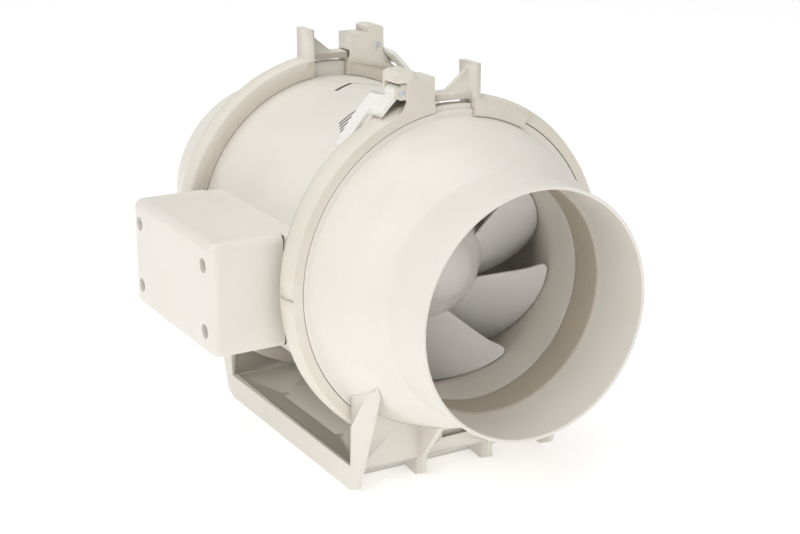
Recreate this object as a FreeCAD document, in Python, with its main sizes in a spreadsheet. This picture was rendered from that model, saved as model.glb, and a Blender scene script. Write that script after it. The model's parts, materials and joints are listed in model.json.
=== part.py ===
"""Inline mixed-flow duct fan with a lift-out barrel, two clamp bands and a moulded foot.

The row frame has its origin at the centre of the foot's underside. The duct runs along Y with
the inlet at -Y, the terminal box is on the -X side and +Z is up. Millimetres throughout.
"""

import FreeCAD, Part
import math
import os
import re

import Sketcher

V = FreeCAD.Vector
ROOT = FreeCAD.newDocument("duct_fan")

# Driving sizes. Stations are distances along the duct from the fan's middle.
SIZES = {
    # ducting and end cones
    "axis_height": 124.1, "inlet_reach": 174.0, "outlet_reach": 166.0,
    "spigot_radius": 73.5, "spigot_wall": 2.2, "spigot_root": 134.5, "root_fillet": 7.0,
    "shoulder_station": 116.0, "shoulder_radius": 86.0, "shoulder_fillet": 40.0,
    "cone_station": 85.0, "cone_radius": 94.9, "cone_wall": 2.6,
    "throat_radius": 69.5, "throat_start": 133.0, "throat_end": 111.5, "throat_wall": 2.4,
    # joint between cone and barrel
    "collar_radius": 98.9, "collar_back": 82.2, "flange_radius": 102.0, "joint_station": 78.6,
    "flange_back": 75.0, "seal_inner": 96.0, "seal_outer": 99.0, "seal_depth": 2.0,
    "barrel_radius": 93.1, "barrel_wall": 2.7, "shroud_seat": 94.4, "shroud_web": 2.4,
    # clamp bands
    "band_crown": 107.7, "band_edge": 105.5, "band_front": 84.9, "band_ridge": 67.6,
    "band_gap_angle": 14.5, "band_clearance": 0.3, "hinge_slit": 1.0, "hinge_slit_depth": 2.6,
    "skirt_radius": 95.4, "skirt_thickness": 1.2,
    "lug_height": 124.8, "lug_place": 13.2, "lug_thickness": 4.2, "lug_gusset": 3.2,
    "strap_thickness": 4.0, "strap_end": 23.0, "strap_side_gap": 0.4,
    "hood_near": 13.5, "hood_far": 31.5, "hood_back_far": 38.0, "hood_height": 119.7,
    "hood_wall": 2.0, "tab_height": 124.6, "tab_near": 26.5,
    # release levers
    "pin_across": 34.2, "pin_up": 111.6, "pin_radius": 2.2, "pin_fit": 0.05, "ear_radius": 4.0,
    "lever_thickness": 2.5, "lever_hub": 4.0, "lever_width": 11.2, "lever_side_gap": 0.3,
    "lever_tip_across": 61.5, "lever_tip_up": 79.5, "lever_bow": 1.6, "lobe_length": 7.5,
    # impeller and its shroud
    "blade_count": 7, "blade_wrap": 64.0, "blade_thickness": 2.0, "blade_front": 88.0,
    "blade_back": 50.0, "blade_front_tip": 65.5, "blade_back_tip": 79.0, "blade_rake": 14.0,
    "shroud_clearance": 1.6, "shroud_wall": 2.2, "shroud_front": 111.0, "shroud_back": 47.0,
    "nose_radius": 22.0, "nose_front": 82.5, "nose_station": 73.0, "hub_mid_radius": 31.0,
    "hub_mid_station": 66.0, "hub_back_radius": 43.0, "hub_wall": 2.4, "hub_boss": 7.0,
    "hub_boss_back": 55.0, "nut_radius": 5.6, "nut_length": 4.0,
    "lead_root_radius": 30.0, "lead_root_station": 67.5,
    # motor
    "shaft_radius": 3.0, "shaft_back": 36.0, "running_clearance": 0.05, "bearing_radius": 9.5,
    "bearing_width": 6.0, "motor_radius": 42.5, "motor_front": 40.4, "cover_wall": 2.5,
    "stack_front": 16.0, "stack_back": 10.0, "motor_back": 31.0, "rotor_radius": 23.4,
    "air_gap": 0.6, "winding_inner": 25.5, "winding_outer": 35.0, "winding_length": 11.0,
    "motor_screw_circle": 38.5, "motor_screw_radius": 1.6, "mount_screw_circle": 25.0,
    # guide vanes
    "drum_radius": 53.5, "drum_wall": 2.5, "drum_front": 46.0, "drum_shoulder": 36.0,
    "drum_back": 46.0, "drum_nose_radius": 45.0, "vane_count": 9, "vane_thickness": 2.2,
    "vane_front": 28.0, "vane_back": 42.0, "vane_turn": 16.0, "fairing_back": 84.0,
    # terminal box
    "box_face": 144.5, "box_seam": 98.7, "box_half_length": 60.3, "box_top": 32.2,
    "box_bottom": 36.3, "box_wall": 2.6, "box_round": 5.5, "gasket": 1.0,
    "box_screw_along": 49.0, "box_screw_up": 17.7, "box_screw_down": 21.8,
    "box_screw_radius": 1.9, "box_screw_head": 3.7, "box_screw_recess": 2.4,
    "box_column": 5.4, "saddle_wall": 3.4, "saddle_inset": 0.8,
    "gland_place": 121.5, "gland_radius": 8.0, "gland_bore": 4.2, "gland_hex": 10.5,
    "lead_radius": 2.6, "lead_place": 20.0, "grommet_radius": 6.5, "conduit_wall": 1.4,
    "block_length": 44.0, "block_depth": 16.0, "block_half_height": 9.0, "block_pad": 94.9,
    "block_screw_radius": 1.8, "capacitor_radius": 9.5, "capacitor_length": 52.0,
    # foot
    "rib_outer": 70.3, "rib_inner": 23.4, "rib_thickness": 3.6, "floor_top": 14.8,
    "floor_thickness": 2.6, "rail_height": 15.6, "toe_reach": 83.5, "toe_round": 9.0,
    "gusset_low_reach": 95.2, "gusset_low_height": 14.0, "gusset_top_reach": 124.0,
    "gusset_top_drop": 33.1, "inner_top_reach": 116.0, "inner_top_drop": 78.1,
    "inner_low_reach": 91.5, "inner_rib_end": 66.5, "inner_rib_low": 2.0,
    "end_wall_reach": 88.4, "end_wall": 2.4, "end_wall_foot": 68.7, "end_wall_top_drop": 61.1,
    "wall_slope_rise": 0.6, "lip_draft": 0.8, "foot_lip": 4.7, "cone_fit": 0.12,
    "room_margin": 0.5, "plug_step": 5.0,
    "window_half": 9.0, "window_low": 22.0, "window_high": 26.5,
    "band_room": 0.7, "foot_hole_along": 39.0, "foot_hole_across": 52.5,
    "foot_hole_radius": 2.75, "foot_boss_radius": 6.5,
}

sheet = ROOT.addObject("Spreadsheet::Sheet", "fan")
for line, (word, amount) in enumerate(SIZES.items(), start=1):
    sheet.set(f"A{line}", word)
    sheet.set(f"B{line}", str(amount))
    sheet.setAlias(f"B{line}", word)
ROOT.recompute()


def size(word):
    """Value of one driving size, read from the sheet."""
    return float(sheet.get(word))


def bind(text):
    """Sheet expression from an expression in plain size words."""
    return re.sub(r"\b([a-z][a-z_0-9]*)\b(?!\()", r"fan.\1", str(text))


def new_body(name, height="axis_height"):
    body = ROOT.addObject("PartDesign::Body", name)
    body.Label = name
    if height:
        body.setExpression(".Placement.Base.z", bind(height))
    return body


def new_sketch(body, plane, shift="0"):
    """Sketch on one of the body's own planes, moved along that plane's normal by shift."""
    sketch = body.newObject("Sketcher::SketchObject", body.Name + "_sketch")
    origin_plane = next(f for f in body.Origin.OriginFeatures if f.Role == plane)
    sketch.AttachmentSupport = [(origin_plane, "")]
    sketch.MapMode = "FlatFace"
    if shift != "0":
        sketch.setExpression(".AttachmentOffset.Base.z", bind(shift))
    return sketch


def place(sketch, kind, element, position, amount):
    """Hold one coordinate of a sketch point at an expression in size words."""
    row = sketch.addConstraint(Sketcher.Constraint(kind, -1, 1, element, position, 1.0))
    sketch.setExpression(f"Constraints[{row}]", bind(amount))


def outline(sketch, corners):
    """Closed outline through corners, each a pair of expressions (across, up)."""
    count = len(corners)
    first = sketch.GeometryCount
    turn = 2 * math.pi / count
    start = [V(100 * math.cos(turn * i), 100 * math.sin(turn * i), 0) for i in range(count)]
    for i in range(count):
        sketch.addGeometry(Part.LineSegment(start[i], start[(i + 1) % count]))
    for i in range(count):
        following = first + (i + 1) % count
        sketch.addConstraint(Sketcher.Constraint("Coincident", first + i, 2, following, 1))
    for i, (across, up) in enumerate(corners):
        place(sketch, "DistanceX", first + i, 1, across)
        place(sketch, "DistanceY", first + i, 1, up)


def rounds(sketch, centres, radius):
    """Circles of one radius about centres given as pairs of expressions."""
    for across, up in centres:
        element = sketch.addGeometry(Part.Circle(V(1, 1, 0), V(0, 0, 1), 1.0))
        place(sketch, "DistanceX", element, 3, across)
        place(sketch, "DistanceY", element, 3, up)
        row = sketch.addConstraint(Sketcher.Constraint("Radius", element, 1.0))
        sketch.setExpression(f"Constraints[{row}]", bind(radius))


def box_corners(left, low, right, high):
    return [(left, low), (right, low), (right, high), (left, high)]


def turn(body, corners, kind="Revolution", angle="360"):
    """Revolve (or Groove) an outline of (station along Y, radius) about the duct axis."""
    sketch = new_sketch(body, "YZ_Plane")
    outline(sketch, corners)
    feature = body.newObject("PartDesign::" + kind, body.Name + "_" + kind.lower())
    feature.Profile = sketch
    feature.ReferenceAxis = (sketch, ["H_Axis"])
    feature.Midplane = True
    feature.setExpression("Angle", bind(angle))
    return feature


def slab(body, plane, middle, thickness, corners=None, circles=None, kind="Pad"):
    """Pad (or Pocket) both ways from a plane at distance middle along its normal."""
    sketch = new_sketch(body, plane, middle)
    for loop in corners or []:
        outline(sketch, loop)
    for centres, radius in circles or []:
        rounds(sketch, centres, radius)
    feature = body.newObject("PartDesign::" + kind, body.Name + "_" + kind.lower())
    feature.Profile = sketch
    feature.Midplane = True
    feature.Refine = False
    feature.setExpression("Length", bind(thickness))
    return feature


def dress(body, kind, edges, amount):
    """Fillet or Chamfer on the edges of the tip that pass the test."""
    ROOT.recompute()
    base = body.Tip
    names = [f"Edge{i}" for i, edge in enumerate(base.Shape.Edges, start=1) if edges(edge)]
    feature = body.newObject("PartDesign::" + kind, body.Name + "_" + kind.lower())
    feature.Base = (base, names)
    feature.setExpression("Radius" if kind == "Fillet" else "Size", bind(amount))
    return feature


def circle_at(station, radius, slack=0.05):
    """Edge test: a circle about the duct axis at this station and radius."""
    def test(edge):
        if not isinstance(edge.Curve, Part.Circle):
            return False
        near = abs(abs(edge.Curve.Center.y) - station) < slack
        return near and abs(edge.Curve.Radius - radius) < slack
    return test


def loose(name, shape, turned=0.0):
    """Sub-part whose shape is made directly; built about the duct axis, then lifted to it."""
    part = ROOT.addObject("Part::Feature", name)
    part.Label = name
    part.Shape = shape
    rotation = FreeCAD.Rotation(V(0, 0, 1), turned)
    part.Placement = FreeCAD.Placement(V(0, 0, size("axis_height")), rotation)
    return part


def tube(start, along, outer, inner=0.0, axis=V(0, 1, 0)):
    """Plain round bar or tube from a start point along an axis."""
    bar = Part.makeCylinder(outer, along, start, axis)
    return bar.cut(Part.makeCylinder(inner, along, start, axis)) if inner else bar


def block(x_span, y_span, z_span):
    """Box from three (low, high) spans."""
    low = V(x_span[0], y_span[0], z_span[0])
    return Part.makeBox(x_span[1] - x_span[0], y_span[1] - y_span[0], z_span[1] - z_span[0], low)


def polar(shape, count, first=0.0):
    """Copies of a shape spaced evenly about the duct axis."""
    copies = []
    for i in range(int(count)):
        copy = shape.copy()
        copy.rotate(V(0, 0, 0), V(0, 1, 0), first + 360.0 * i / count)
        copies.append(copy)
    return copies


# ---------------------------------------------------------------- end cones
def end_cone(name, side, reach, throat):
    """Spigot, dished cone and clamp flange in one moulding; side is -1 inlet, +1 outlet."""
    bore = "spigot_radius - spigot_wall"
    corners = [
        (reach, "spigot_radius"), ("spigot_root", "spigot_radius"),
        ("shoulder_station", "shoulder_radius"), ("cone_station", "cone_radius"),
        ("cone_station", "collar_radius"), ("collar_back", "collar_radius"),
        ("collar_back", "flange_radius"), ("joint_station", "flange_radius"),
        ("joint_station", "cone_radius - cone_wall + 1"),
        ("cone_station", "cone_radius - cone_wall"),
        ("shoulder_station - 1", "shoulder_radius - cone_wall"),
    ]
    if throat:
        corners += [
            ("throat_start - throat_wall - 1", "throat_radius + throat_wall"),
            ("throat_end", "throat_radius + throat_wall"),
            ("throat_end", "throat_radius"), ("throat_start", "throat_radius"),
        ]
    corners += [("throat_start", bore), (reach, bore)]
    body = new_body(name)
    turn(body, [(f"{side} * ({station})", radius) for station, radius in corners])
    dress(body, "Fillet", circle_at(size("spigot_root"), size("spigot_radius")), "root_fillet")
    dress(body, "Fillet", circle_at(size("shoulder_station"), size("shoulder_radius")),
          "shoulder_fillet")
    return body


inlet_cone = end_cone("inlet_cone", -1, "inlet_reach", True)
outlet_cone = end_cone("outlet_cone", 1, "outlet_reach", False)

# ------------------------------------------------------------------- barrel
SCREW_CENTRES = [(f"{a} * box_screw_along", up) for a in (-1, 1)
                 for up in ("box_screw_up", "-box_screw_down")]
SADDLE_OUT = "(box_seam - gasket / 2)"
SADDLE_MID = f"-({SADDLE_OUT} + 80) / 2"
SADDLE_DEPTH = f"{SADDLE_OUT} - 80"


def box_rectangle(inset):
    """Rectangle of the terminal box in the YZ plane, drawn in by inset on every side."""
    return box_corners(f"-(box_half_length - ({inset}))", f"-(box_bottom - ({inset}))",
                       f"box_half_length - ({inset})", f"box_top - ({inset})")


barrel = new_body("barrel")
slab(barrel, "YZ_Plane", SADDLE_MID, SADDLE_DEPTH,
     corners=[box_rectangle("saddle_inset"), box_rectangle("saddle_inset + saddle_wall")])
slab(barrel, "YZ_Plane", SADDLE_MID, SADDLE_DEPTH, circles=[(SCREW_CENTRES, "box_column")])
slab(barrel, "YZ_Plane", "-(block_pad + 80) / 2", "block_pad - 80",
     corners=[box_corners("-block_length / 2 - 12", "-block_half_height",
                          "block_length / 2 - 11", "block_half_height")])
barrel_bore = "barrel_radius - barrel_wall"
turn(barrel, [
    ("-joint_station", "flange_radius"), ("-flange_back", "flange_radius"),
    ("-flange_back", "barrel_radius"), ("flange_back", "barrel_radius"),
    ("flange_back", "flange_radius"), ("joint_station", "flange_radius"),
    ("joint_station", f"{barrel_bore} - 2"), ("-joint_station", f"{barrel_bore} - 2"),
])
turn(barrel, [("-joint_station - 1", "0"), ("joint_station + 1", "0"),
              ("joint_station + 1", barrel_bore), ("-joint_station - 1", barrel_bore)], "Groove")
turn(barrel, box_corners("-joint_station - 1", "0", "shroud_web - joint_station", "shroud_seat"),
     "Groove")
for side in (-1, 1):
    turn(barrel, box_corners(f"{side} * (joint_station - seal_depth)", "seal_inner",
                             f"{side} * (joint_station + 1)", "seal_outer"), "Groove")
slab(barrel, "YZ_Plane", "-(box_seam + 96) / 2", "10",
     circles=[(SCREW_CENTRES, "box_screw_radius")], kind="Pocket")
slab(barrel, "YZ_Plane", "-barrel_radius", "30",
     circles=[([("lead_place", "0")], "grommet_radius - 1.5")], kind="Pocket")
dress(barrel, "Fillet", lambda edge: isinstance(edge.Curve, Part.Line)
      and edge.Length > 3 and abs(edge.BoundBox.YMin - edge.BoundBox.YMax) < 0.01
      and abs(edge.BoundBox.ZMin - edge.BoundBox.ZMax) < 0.01
      and abs(abs(edge.BoundBox.YMin) - size("box_half_length") + size("saddle_inset")) < 0.1,
      "box_round - saddle_inset")

for name, side in (("inlet_seal", -1), ("outlet_seal", 1)):
    turn(new_body(name), box_corners(f"{side} * (joint_station - seal_depth)", "seal_inner",
                                     f"{side} * joint_station", "seal_outer"))


# -------------------------------------------------------------- clamp bands
def ring_section():
    """Half section of the band: crown, front lip on the cone, leaning lip on the barrel."""
    inner = "flange_radius + band_clearance"
    return [
        ("-band_front", "band_edge"), ("-(band_front + band_ridge) / 2 - 3", "band_crown"),
        ("-band_ridge - 4", "band_crown - 0.5"), ("-band_ridge", "band_edge"),
        ("-band_ridge - 4.4", "barrel_radius + band_clearance"),
        ("-flange_back + band_clearance", "barrel_radius + band_clearance"),
        ("-flange_back + band_clearance", inner), ("-collar_back - band_clearance", inner),
        ("-collar_back - band_clearance", "collar_radius + band_clearance + 0.2"),
        ("-band_front", "collar_radius + band_clearance + 0.2"),
    ]


def clamp_band():
    """One-piece plastic band with its lug and strap at one end and its hood at the other."""
    body = ROOT.addObject("PartDesign::Body", "band_pattern")
    low = [(station, f"-({radius})") for station, radius in ring_section()]
    turn(body, low, angle="360 - band_gap_angle")
    middle = "(band_front + band_ridge + 0.2) / 2"
    width = "band_front - band_ridge - 0.2"
    strap_top = "flange_radius + 2.4 + strap_thickness"
    # lug plate, its gusset and the strap that runs into the hood
    slab(body, "XZ_Plane", middle, width,
         [box_corners("lug_place", "flange_radius + 1.5", "lug_place + lug_thickness",
                      "lug_height")])
    slab(body, "XZ_Plane", middle, "lug_gusset",
         [[("lug_place + 1", "lug_height - 2.5"), ("lug_place + 1", f"{strap_top} - 1"),
           ("-4", f"{strap_top} - 1")]])
    slab(body, "XZ_Plane", middle, f"{width} - 2 * hood_wall - 2 * strap_side_gap",
         [box_corners("-strap_end", "flange_radius + 2.4", "lug_place + 1", strap_top)])
    # hood: front wall, longer back wall, roof, end wall and grip tab
    walls = (("band_front - hood_wall / 2", "hood_far"),
             ("band_ridge + 0.2 + hood_wall / 2", "hood_back_far"))
    for place_along, far in walls:
        slab(body, "XZ_Plane", place_along, "hood_wall",
             [[("-hood_near", "flange_radius - 0.4"), ("-hood_near", "hood_height"),
               (f"-{far}", "hood_height"), (f"-{far}", "hood_height - 13.5"),
               (f"-{far} - 3.5", "hood_height - 18.6"), (f"-{far} - 8.5", "hood_height - 24.6"),
               (f"-{far} - 6", "hood_height - 26")]])
    slab(body, "XZ_Plane", middle, width,
         [box_corners("-hood_far", "hood_height - hood_wall", "-hood_near", "hood_height")])
    slab(body, "XZ_Plane", middle, width,
         [box_corners("-hood_near - hood_wall", f"{strap_top} + strap_side_gap",
                      "-hood_near", "hood_height")])
    slab(body, "XZ_Plane", middle, width,
         [[("-tab_near", "hood_height - hood_wall"), ("-tab_near", "tab_height - 1"),
           ("-tab_near - 2", "tab_height"), ("-hood_back_far + 2", "tab_height - 0.6"),
           ("-hood_back_far", "tab_height - 2"), ("-hood_back_far", "hood_height - hood_wall")]])
    # the ring's crown is cut down inside the hood to let the strap and lever in
    slab(body, "XZ_Plane", middle, f"{width} - 2 * hood_wall",
         [box_corners("-hood_back_far - 4", "flange_radius + 2", "-12",
                      f"{strap_top} + strap_side_gap")], kind="Pocket")
    # pin ears, one each side of the lever
    ear_back = "band_ridge + 0.2 + hood_wall / 2"
    ear_front = "band_front - hood_wall - 0.9"
    slab(body, "XZ_Plane", ear_front, "1.8",
         [box_corners("-pin_across", "pin_up - ear_radius", "-hood_far + 3", "pin_up + 5")])
    slab(body, "XZ_Plane", ear_front, "1.8", circles=[([("-pin_across", "pin_up")], "ear_radius")])
    slab(body, "XZ_Plane", ear_back, "hood_wall",
         circles=[([("-pin_across", "pin_up")], "ear_radius")])
    slab(body, "XZ_Plane", middle, "60", circles=[([("-pin_across", "pin_up")], "pin_radius")],
         kind="Pocket")
    # side skirt that closes the end of the band against the cone
    skirt = [("-band_front - skirt_thickness - 0.4", "skirt_radius"),
             ("-band_front - skirt_thickness - 0.4", "band_edge - 0.5"),
             ("-band_front + 0.5", "band_edge"), ("-band_front + 0.5", "flange_radius - 2"),
             ("-band_front - 0.4", "flange_radius - 2"), ("-band_front - 0.4", "skirt_radius")]
    feature = turn(body, skirt, angle="22")
    feature.Midplane = False
    feature.Reversed = False
    turned_plane = FreeCAD.Rotation(V(1, 0, 0), size("band_gap_angle") / 2)
    feature.Profile[0].AttachmentOffset = FreeCAD.Placement(V(0, 0, 0), turned_plane)
    # thin hinges half way round each side
    for side in (-1, 1):
        slab(body, "XY_Plane", "0", "hinge_slit",
             [box_corners(f"{side} * (band_crown - hinge_slit_depth)", "-band_front - 3",
                          f"{side} * (band_crown + 3)", "-band_ridge + 2")], kind="Pocket")
    ROOT.recompute()
    return body


pattern = clamp_band()
band_shape = pattern.Shape.copy()
FRONT_TURN, REAR_TURN = 0.0, 180.0
loose("front_clamp_band", band_shape, FRONT_TURN)
loose("rear_clamp_band", band_shape, REAR_TURN)


# ---------------------------------------------------------- release levers
def lever_strip(offset):
    """Arc from the pin to the lever's tip, moved outwards by offset."""
    start = V(-size("pin_across"), 0, size("pin_up"))
    tip = V(-size("lever_tip_across"), 0, size("lever_tip_up"))
    along = (tip - start).normalize()
    outward = V(along.z, 0, -along.x)
    middle = (start + tip) * 0.5 + outward * (size("lever_bow") + offset)
    return start + outward * offset, middle, tip + outward * offset


def lever_shape():
    """Hub on the pin, arm out of the hood, lobe over the band and tongue beside it."""
    half = size("lever_thickness") / 2
    low, high = lever_strip(-half), lever_strip(half)
    wire = Part.Wire([
        Part.Arc(*low).toShape(), Part.LineSegment(low[2], high[2]).toShape(),
        Part.Arc(*reversed(high)).toShape(), Part.LineSegment(high[0], low[0]).toShape(),
    ])
    gap = size("lever_side_gap")
    back_wall = size("band_ridge") + 0.2
    inside = (-size("band_front") + size("hood_wall") + 1.8 + gap,
              -back_wall - size("hood_wall") - gap)
    outside = -back_wall + 0.9
    edge = outside + size("lever_width")
    strip = Part.Face(wire)
    strip.translate(V(0, inside[0], 0))
    strip = strip.extrude(V(0, edge - inside[0], 0))
    lobe_start = -size("hood_back_far") - 0.6
    lobe_end = lobe_start - size("lobe_length")
    reach = (-size("lever_tip_across") - 20, 0)
    tall = (60, 130)
    strip = strip.cut(block((lobe_start, 0), (inside[1], edge + 1), tall))
    strip = strip.cut(block((reach[0], lobe_end), (inside[0] - 1, outside), tall))
    hub_start = V(-size("pin_across"), inside[0], size("pin_up"))
    hub = tube(hub_start, inside[1] - inside[0], size("lever_hub"))
    lever = strip.fuse(hub).removeSplitter()
    bore = tube(hub_start - V(0, 1, 0), inside[1] - inside[0] + 2,
                size("pin_radius") + size("pin_fit"))
    return lever.cut(bore)


lever = lever_shape()
pin_span = size("band_front") - size("hood_wall") - size("band_ridge") - 0.2
lever_pin = tube(V(-size("pin_across"), -size("band_front") + size("hood_wall"),
                   size("pin_up")), pin_span, size("pin_radius"))
for end, turned in (("front", FRONT_TURN), ("rear", REAR_TURN)):
    loose(end + "_release_lever", lever, turned)
    loose(end + "_lever_pin", lever_pin, turned)

# ------------------------------------------------------- shroud and impeller
shroud = new_body("impeller_shroud")
front_bore, back_bore = "blade_front_tip + shroud_clearance", "blade_back_tip + shroud_clearance"
turn(shroud, [
    ("-shroud_front", "throat_radius"), ("-blade_front - 4", front_bore + " + 1.2"),
    ("-blade_front + 6", front_bore + " + 2"), ("-shroud_back", back_bore + " + 1"),
    ("-shroud_back", back_bore + " + 1 + shroud_wall"),
    ("-joint_station + shroud_web", front_bore + " + 7.6 + shroud_wall"),
    ("-joint_station + shroud_web", "shroud_seat"), ("-joint_station", "shroud_seat"),
    ("-joint_station", front_bore + " + 6.9 + shroud_wall"),
    ("-blade_front + 6", front_bore + " + 2 + shroud_wall"),
    ("-blade_front - 4", front_bore + " + 1.2 + shroud_wall"),
    ("-shroud_front", "throat_radius + shroud_wall"),
])


def blade_tip(along):
    """Tip radius of a blade at a share of its length from the leading edge."""
    return size("blade_front_tip") + along * (size("blade_back_tip") - size("blade_front_tip"))


def blade():
    """Wide scoop blade lofted through thin slices from leading to trailing edge."""
    depth = size("blade_front") - size("blade_back")
    wrap = math.radians(size("blade_wrap"))
    wires = []
    for along in (0.0, 0.2, 0.4, 0.6, 0.8, 1.0):
        station = -size("blade_front") + along * depth
        root = size("nose_radius") - 3 + along * (size("hub_back_radius") - size("nose_radius"))
        rake = math.radians(size("blade_rake")) * (1 - along)
        half = size("blade_thickness") / 2 * (0.55 + 1.2 * math.sqrt(along) * (1 - 0.6 * along))
        points = []
        for radius, angle, sides in ((root, wrap * along + rake, (-1, 1)),
                                     (blade_tip(along) + 4, wrap * along, (1, -1))):
            spread = half * math.hypot(radius * wrap, depth) / depth
            middle = V(radius * math.cos(angle), station, -radius * math.sin(angle))
            across = V(-math.sin(angle), 0, -math.cos(angle))
            points += [middle + across * (side * spread) for side in sides]
        wires.append(Part.makePolygon(points + points[:1]))
    return Part.makeLoft(wires, True, False)


def tip_envelope():
    """Solid of revolution that trims every blade tip and rounds its leading corner."""
    front, back = -size("blade_front") - 1.5, -size("blade_back") - 0.6
    corner = 7.0
    rim = V(0, blade_tip(0) + 0.4, 0)
    lead_root = -size("lead_root_station")
    points = [V(rim.y - corner, front, 0), V(rim.y - 0.3 * corner, front + 0.3 * corner, 0),
              V(rim.y, front + corner, 0), V(blade_tip(1), back, 0), V(0, back, 0),
              V(0, lead_root, 0), V(size("lead_root_radius"), lead_root, 0)]
    corners = points[2:] + points[:1]
    edges = [Part.LineSegment(a, b) for a, b in zip(corners, corners[1:])]
    edges.append(Part.Arc(*points[:3]))
    face = Part.Face(Part.Wire([edge.toShape() for edge in edges]))
    return face.revolve(V(0, 0, 0), V(0, 1, 0), 360)


hub_profile = [
    ("nose_station", "nose_radius"), ("hub_mid_station", "hub_mid_radius"),
    ("blade_back - 1", "hub_back_radius"), ("blade_back - 1", "hub_back_radius - hub_wall"),
    ("hub_mid_station - 1", "hub_mid_radius - hub_wall"),
    ("nose_station - 3", "nose_radius - hub_wall"), ("nose_station - 3", "hub_boss"),
    ("hub_boss_back", "hub_boss"), ("hub_boss_back", "shaft_radius"),
    ("nose_station", "shaft_radius"),
]
hub = ROOT.addObject("PartDesign::Body", "impeller_hub")
turn(hub, [(f"-({station})", radius) for station, radius in hub_profile])
ROOT.recompute()
hub_shape = hub.Shape.copy()
trimmed_blade = blade().common(tip_envelope())
impeller_shape = hub_shape.fuse(polar(trimmed_blade, size("blade_count"), 6.0))
hub_room = Part.makeCone(size("hub_mid_radius") - size("hub_wall"),
                         size("hub_back_radius") - size("hub_wall"),
                         size("hub_mid_station") - size("blade_back"),
                         V(0, -size("hub_mid_station") + 1, 0), V(0, 1, 0))
boss_room = tube(V(0, -size("hub_mid_station"), 0), 60, size("hub_boss"))
nose_room = tube(V(0, -size("nose_front") - 1, 0), size("nose_front") + 1 - size("nose_station"),
                 size("nose_radius") + 0.2)
impeller_shape = impeller_shape.cut(hub_room.cut(boss_room)).cut(nose_room)
loose("impeller", impeller_shape)

nose = new_body("nose_cap")
turn(nose, [
    ("-nose_front", "0"), ("-nose_front + 1", "nose_radius * 0.4"),
    ("-nose_front + 4.5", "nose_radius * 0.78"), ("-nose_station", "nose_radius"),
    ("-nose_station", "nose_radius - 2"), ("-nose_front + 5.5", "nose_radius * 0.78 - 2"),
    ("-nose_front + 3", "nose_radius * 0.3"), ("-nose_front + 2.6", "0"),
])
turn(new_body("impeller_nut"), box_corners("-nose_station - nut_length", "shaft_radius",
                                           "-nose_station", "nut_radius"))
turn(new_body("motor_shaft"), box_corners("-nose_station - nut_length - 1", "0",
                                          "shaft_back", "shaft_radius"))

# -------------------------------------------------------------------- motor
turn(new_body("rotor_core"), box_corners("-stack_front - 1", "shaft_radius",
                                         "stack_back + 1", "rotor_radius"))
screw_ring = [(f"motor_screw_circle * cos({90 * i + 45})", f"motor_screw_circle * sin({90 * i + 45})")
              for i in range(4)]
stator = new_body("stator_core")
turn(stator, box_corners("-stack_front", "rotor_radius + air_gap", "stack_back", "motor_radius"))
slab(stator, "XZ_Plane", "0", "90", circles=[(screw_ring, "motor_screw_radius")], kind="Pocket")

windings = [tube(V(0, y, 0), size("winding_length"), size("winding_outer"), size("winding_inner"))
            for y in (-size("stack_front") - size("winding_length"), size("stack_back"))]
loose("stator_windings", Part.makeCompound(windings))


def end_cover(name, side, stack, outer):
    """Pressed motor end cover with its bearing seat; side is -1 front, +1 rear."""
    corners = [
        (stack, "motor_radius"), (outer, "motor_radius"),
        (outer, "shaft_radius + 2"), (f"{outer} - cover_wall", "shaft_radius + 2"),
        (f"{outer} - cover_wall", "bearing_radius"),
        (f"{outer} - cover_wall - bearing_width", "bearing_radius"),
        (f"{outer} - cover_wall - bearing_width", "bearing_radius + cover_wall"),
        (f"{outer} - cover_wall", "bearing_radius + cover_wall"),
        (f"{outer} - cover_wall", "winding_outer + 0.8"), (stack, "winding_outer + 0.8"),
    ]
    body = new_body(name)
    turn(body, [(f"{side} * ({station})", radius) for station, radius in corners])
    slab(body, "XZ_Plane", "0", "2 * motor_front - 2",
         circles=[(screw_ring, "motor_screw_radius")], kind="Pocket")
    return body


mount_ring = [(f"mount_screw_circle * cos({120 * i - 90})", f"mount_screw_circle * sin({120 * i - 90})")
              for i in range(3)]
front_cover = end_cover("motor_front_cover", -1, "stack_front", "motor_front")
slab(front_cover, "XZ_Plane", "motor_front", "4 * cover_wall",
     circles=[(mount_ring, "motor_screw_radius")], kind="Pocket")
end_cover("motor_rear_cover", 1, "stack_back", "motor_back")
for name, side, outer in (("front_bearing", -1, "motor_front"), ("rear_bearing", 1, "motor_back")):
    turn(new_body(name), box_corners(f"{side} * ({outer} - cover_wall - bearing_width)",
                                     "shaft_radius + running_clearance",
                                     f"{side} * ({outer} - cover_wall)", "bearing_radius"))

motor_screw = tube(V(size("motor_screw_circle"), -size("motor_front") + 1, 0),
                   size("motor_front") - 1 + size("motor_back"), size("motor_screw_radius"))
motor_screw = motor_screw.fuse(tube(V(size("motor_screw_circle"), size("motor_back"), 0), 2,
                                    size("motor_screw_radius") * 2))
loose("motor_screws", Part.makeCompound(polar(motor_screw, 4, 45)))

# -------------------------------------------------------------- guide vanes
drum = ROOT.addObject("PartDesign::Body", "vane_drum")
drum_bore = "drum_radius - drum_wall"
turn(drum, [
    ("-drum_front", "drum_nose_radius"), ("-drum_shoulder", "drum_radius"),
    ("drum_back", "drum_radius"), ("drum_back", drum_bore), ("-drum_shoulder + 1", drum_bore),
    ("-motor_front", "drum_nose_radius"), ("-motor_front", "shaft_radius + 8"),
    ("-motor_front - drum_wall", "shaft_radius + 8"),
    ("-motor_front - drum_wall", "drum_nose_radius - 2"),
    ("-drum_front", "drum_nose_radius - 2"),
])
ROOT.recompute()


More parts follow.
